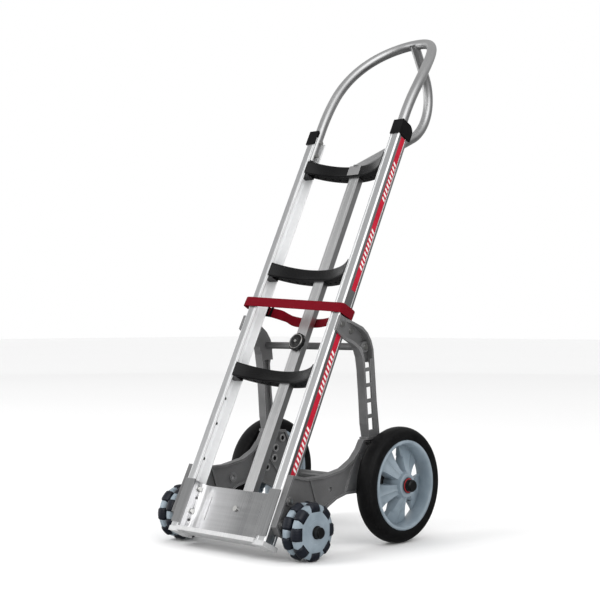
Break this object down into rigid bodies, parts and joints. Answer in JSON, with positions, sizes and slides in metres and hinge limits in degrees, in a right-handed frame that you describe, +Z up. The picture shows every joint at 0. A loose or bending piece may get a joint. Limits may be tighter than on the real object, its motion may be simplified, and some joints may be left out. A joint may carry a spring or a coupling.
{
  "type": "four-wheel hand truck",
  "caption": "Self-standing hand truck: leaning aluminium rails with bowed crossbars, an arched handle with a rear grip loop, front omni wheels and large rear wheels.",
  "frame": {"origin": "centre of the footprint of the bounding box, on the floor", "axes": "+Z up; -Y is the front, where the nose frame and the omni wheels are; +X is the truck's side that a viewer in front sees on the right"},
  "size_m": [0.472, 0.762, 1.1939],
  "materials": {
    "rail_aluminium": "extruded, satin",
    "tube_aluminium": "bare tube, satin",
    "black_casting": "black powder coat, semi-matt",
    "grey_casting": "dark grey cast magnesium, matt",
    "black_plastic": "moulded, matt",
    "zinc_steel": "zinc-plated",
    "axle_steel": "black axle, caps and spacers",
    "red_webbing": "woven polyester",
    "tyre_rubber": "moulded rubber",
    "hub_plastic": "blue-grey moulded nylon",
    "roller_rubber": "blue-black moulded rubber"
  },
  "bodies": {
    "frame": {"rail_left": "rail_aluminium", "rail_right": "rail_aluminium", "rail_caps": "black_plastic", "handle_arch": "tube_aluminium", "handle_loop": "tube_aluminium", "loop_clip": "tube_aluminium", "crossbar_top": "black_casting", "crossbar_middle": "black_casting", "crossbar_lower": "black_casting", "centre_bar": "rail_aluminium", "nose_frame": "grey_casting", "nose_lip": "rail_aluminium", "strut_left": "grey_casting", "strut_right": "grey_casting", "arm_left": "grey_casting", "arm_right": "grey_casting", "cross_tube": "grey_casting", "frame_bolts": "zinc_steel", "axles": "axle_steel", "strap": "red_webbing", "strap_buckle": "black_plastic"},
    "rear_wheel_left": {"tyre_left": "tyre_rubber", "hub_left": "hub_plastic"},
    "rear_wheel_right": {"tyre_right": "tyre_rubber", "hub_right": "hub_plastic"},
    "omni_wheel_left": {"omni_hub_left": "hub_plastic"},
    "omni_wheel_right": {"omni_hub_right": "hub_plastic"},
    "knob": {"knob": "black_plastic"},
    "roller_l_out_1": {"roller_l_out_1": "roller_rubber"},
    "roller_l_out_2": {"roller_l_out_2": "roller_rubber"},
    "roller_l_out_3": {"roller_l_out_3": "roller_rubber"},
    "roller_l_out_4": {"roller_l_out_4": "roller_rubber"},
    "roller_l_out_5": {"roller_l_out_5": "roller_rubber"},
    "roller_l_out_6": {"roller_l_out_6": "roller_rubber"},
    "roller_l_out_7": {"roller_l_out_7": "roller_rubber"},
    "roller_l_out_8": {"roller_l_out_8": "roller_rubber"},
    "roller_l_in_1": {"roller_l_in_1": "roller_rubber"},
    "roller_l_in_2": {"roller_l_in_2": "roller_rubber"},
    "roller_l_in_3": {"roller_l_in_3": "roller_rubber"},
    "roller_l_in_4": {"roller_l_in_4": "roller_rubber"},
    "roller_l_in_5": {"roller_l_in_5": "roller_rubber"},
    "roller_l_in_6": {"roller_l_in_6": "roller_rubber"},
    "roller_l_in_7": {"roller_l_in_7": "roller_rubber"},
    "roller_l_in_8": {"roller_l_in_8": "roller_rubber"},
    "roller_r_out_1": {"roller_r_out_1": "roller_rubber"},
    "roller_r_out_2": {"roller_r_out_2": "roller_rubber"},
    "roller_r_out_3": {"roller_r_out_3": "roller_rubber"},
    "roller_r_out_4": {"roller_r_out_4": "roller_rubber"},
    "roller_r_out_5": {"roller_r_out_5": "roller_rubber"},
    "roller_r_out_6": {"roller_r_out_6": "roller_rubber"},
    "roller_r_out_7": {"roller_r_out_7": "roller_rubber"},
    "roller_r_out_8": {"roller_r_out_8": "roller_rubber"},
    "roller_r_in_1": {"roller_r_in_1": "roller_rubber"},
    "roller_r_in_2": {"roller_r_in_2": "roller_rubber"},
    "roller_r_in_3": {"roller_r_in_3": "roller_rubber"},
    "roller_r_in_4": {"roller_r_in_4": "roller_rubber"},
    "roller_r_in_5": {"roller_r_in_5": "roller_rubber"},
    "roller_r_in_6": {"roller_r_in_6": "roller_rubber"},
    "roller_r_in_7": {"roller_r_in_7": "roller_rubber"},
    "roller_r_in_8": {"roller_r_in_8": "roller_rubber"}
  },
  "joints": [
    {"name": "rear_wheel_left_spin", "type": "hinge", "parent": "frame", "child": "rear_wheel_left", "pos_m": [-0.194, -0.00292, 0.127], "axis": [1, 0, 0], "continuous": true},
    {"name": "rear_wheel_right_spin", "type": "hinge", "parent": "frame", "child": "rear_wheel_right", "pos_m": [0.194, -0.00292, 0.127], "axis": [1, 0, 0], "continuous": true},
    {"name": "omni_wheel_left_spin", "type": "hinge", "parent": "frame", "child": "omni_wheel_left", "pos_m": [-0.1884, -0.29352, 0.06], "axis": [1, 0, 0], "continuous": true},
    {"name": "omni_wheel_right_spin", "type": "hinge", "parent": "frame", "child": "omni_wheel_right", "pos_m": [0.1884, -0.29352, 0.06], "axis": [1, 0, 0], "continuous": true},
    {"name": "knob_turn", "type": "hinge", "parent": "frame", "child": "knob", "pos_m": [0, -0.12282, 0.43987], "axis": [0, -0.8934, 0.4493], "continuous": true},
    {"name": "roller_l_out_1_spin", "type": "hinge", "parent": "omni_wheel_left", "child": "roller_l_out_1", "pos_m": [-0.2008, -0.29352, 0.012], "axis": [0, 1, 0], "continuous": true},
    {"name": "roller_l_out_2_spin", "type": "hinge", "parent": "omni_wheel_left", "child": "roller_l_out_2", "pos_m": [-0.2008, -0.25958, 0.02606], "axis": [0, 0.7071, 0.7071], "continuous": true},
    {"name": "roller_l_out_3_spin", "type": "hinge", "parent": "omni_wheel_left", "child": "roller_l_out_3", "pos_m": [-0.2008, -0.24552, 0.06], "axis": [0, 0, 1], "continuous": true},
    {"name": "roller_l_out_4_spin", "type": "hinge", "parent": "omni_wheel_left", "child": "roller_l_out_4", "pos_m": [-0.2008, -0.25958, 0.09394], "axis": [0, -0.7071, 0.7071], "continuous": true},
    {"name": "roller_l_out_5_spin", "type": "hinge", "parent": "omni_wheel_left", "child": "roller_l_out_5", "pos_m": [-0.2008, -0.29352, 0.108], "axis": [0, -1, 0], "continuous": true},
    {"name": "roller_l_out_6_spin", "type": "hinge", "parent": "omni_wheel_left", "child": "roller_l_out_6", "pos_m": [-0.2008, -0.32747, 0.09394], "axis": [0, -0.7071, -0.7071], "continuous": true},
    {"name": "roller_l_out_7_spin", "type": "hinge", "parent": "omni_wheel_left", "child": "roller_l_out_7", "pos_m": [-0.2008, -0.34152, 0.06], "axis": [0, 0, -1], "continuous": true},
    {"name": "roller_l_out_8_spin", "type": "hinge", "parent": "omni_wheel_left", "child": "roller_l_out_8", "pos_m": [-0.2008, -0.32747, 0.02606], "axis": [0, 0.7071, -0.7071], "continuous": true},
    {"name": "roller_l_in_1_spin", "type": "hinge", "parent": "omni_wheel_left", "child": "roller_l_in_1", "pos_m": [-0.176, -0.27516, 0.01565], "axis": [0, 0.9239, 0.3827], "continuous": true},
    {"name": "roller_l_in_2_spin", "type": "hinge", "parent": "omni_wheel_left", "child": "roller_l_in_2", "pos_m": [-0.176, -0.24918, 0.04163], "axis": [0, 0.3827, 0.9239], "continuous": true},
    {"name": "roller_l_in_3_spin", "type": "hinge", "parent": "omni_wheel_left", "child": "roller_l_in_3", "pos_m": [-0.176, -0.24918, 0.07837], "axis": [0, -0.3827, 0.9239], "continuous": true},
    {"name": "roller_l_in_4_spin", "type": "hinge", "parent": "omni_wheel_left", "child": "roller_l_in_4", "pos_m": [-0.176, -0.27516, 0.10435], "axis": [0, -0.9239, 0.3827], "continuous": true},
    {"name": "roller_l_in_5_spin", "type": "hinge", "parent": "omni_wheel_left", "child": "roller_l_in_5", "pos_m": [-0.176, -0.31189, 0.10435], "axis": [0, -0.9239, -0.3827], "continuous": true},
    {"name": "roller_l_in_6_spin", "type": "hinge", "parent": "omni_wheel_left", "child": "roller_l_in_6", "pos_m": [-0.176, -0.33787, 0.07837], "axis": [0, -0.3827, -0.9239], "continuous": true},
    {"name": "roller_l_in_7_spin", "type": "hinge", "parent": "omni_wheel_left", "child": "roller_l_in_7", "pos_m": [-0.176, -0.33787, 0.04163], "axis": [0, 0.3827, -0.9239], "continuous": true},
    {"name": "roller_l_in_8_spin", "type": "hinge", "parent": "omni_wheel_left", "child": "roller_l_in_8", "pos_m": [-0.176, -0.31189, 0.01565], "axis": [0, 0.9239, -0.3827], "continuous": true},
    {"name": "roller_r_out_1_spin", "type": "hinge", "parent": "omni_wheel_right", "child": "roller_r_out_1", "pos_m": [0.2008, -0.29352, 0.012], "axis": [0, 1, 0], "continuous": true},
    {"name": "roller_r_out_2_spin", "type": "hinge", "parent": "omni_wheel_right", "child": "roller_r_out_2", "pos_m": [0.2008, -0.25958, 0.02606], "axis": [0, 0.7071, 0.7071], "continuous": true},
    {"name": "roller_r_out_3_spin", "type": "hinge", "parent": "omni_wheel_right", "child": "roller_r_out_3", "pos_m": [0.2008, -0.24552, 0.06], "axis": [0, 0, 1], "continuous": true},
    {"name": "roller_r_out_4_spin", "type": "hinge", "parent": "omni_wheel_right", "child": "roller_r_out_4", "pos_m": [0.2008, -0.25958, 0.09394], "axis": [0, -0.7071, 0.7071], "continuous": true},
    {"name": "roller_r_out_5_spin", "type": "hinge", "parent": "omni_wheel_right", "child": "roller_r_out_5", "pos_m": [0.2008, -0.29352, 0.108], "axis": [0, -1, 0], "continuous": true},
    {"name": "roller_r_out_6_spin", "type": "hinge", "parent": "omni_wheel_right", "child": "roller_r_out_6", "pos_m": [0.2008, -0.32747, 0.09394], "axis": [0, -0.7071, -0.7071], "continuous": true},
    {"name": "roller_r_out_7_spin", "type": "hinge", "parent": "omni_wheel_right", "child": "roller_r_out_7", "pos_m": [0.2008, -0.34152, 0.06], "axis": [0, 0, -1], "continuous": true},
    {"name": "roller_r_out_8_spin", "type": "hinge", "parent": "omni_wheel_right", "child": "roller_r_out_8", "pos_m": [0.2008, -0.32747, 0.02606], "axis": [0, 0.7071, -0.7071], "continuous": true},
    {"name": "roller_r_in_1_spin", "type": "hinge", "parent": "omni_wheel_right", "child": "roller_r_in_1", "pos_m": [0.176, -0.27516, 0.01565], "axis": [0, 0.9239, 0.3827], "continuous": true},
    {"name": "roller_r_in_2_spin", "type": "hinge", "parent": "omni_wheel_right", "child": "roller_r_in_2", "pos_m": [0.176, -0.24918, 0.04163], "axis": [0, 0.3827, 0.9239], "continuous": true},
    {"name": "roller_r_in_3_spin", "type": "hinge", "parent": "omni_wheel_right", "child": "roller_r_in_3", "pos_m": [0.176, -0.24918, 0.07837], "axis": [0, -0.3827, 0.9239], "continuous": true},
    {"name": "roller_r_in_4_spin", "type": "hinge", "parent": "omni_wheel_right", "child": "roller_r_in_4", "pos_m": [0.176, -0.27516, 0.10435], "axis": [0, -0.9239, 0.3827], "continuous": true},
    {"name": "roller_r_in_5_spin", "type": "hinge", "parent": "omni_wheel_right", "child": "roller_r_in_5", "pos_m": [0.176, -0.31189, 0.10435], "axis": [0, -0.9239, -0.3827], "continuous": true},
    {"name": "roller_r_in_6_spin", "type": "hinge", "parent": "omni_wheel_right", "child": "roller_r_in_6", "pos_m": [0.176, -0.33787, 0.07837], "axis": [0, -0.3827, -0.9239], "continuous": true},
    {"name": "roller_r_in_7_spin", "type": "hinge", "parent": "omni_wheel_right", "child": "roller_r_in_7", "pos_m": [0.176, -0.33787, 0.04163], "axis": [0, 0.3827, -0.9239], "continuous": true},
    {"name": "roller_r_in_8_spin", "type": "hinge", "parent": "omni_wheel_right", "child": "roller_r_in_8", "pos_m": [0.176, -0.31189, 0.01565], "axis": [0, 0.9239, -0.3827], "continuous": true}
  ]
}
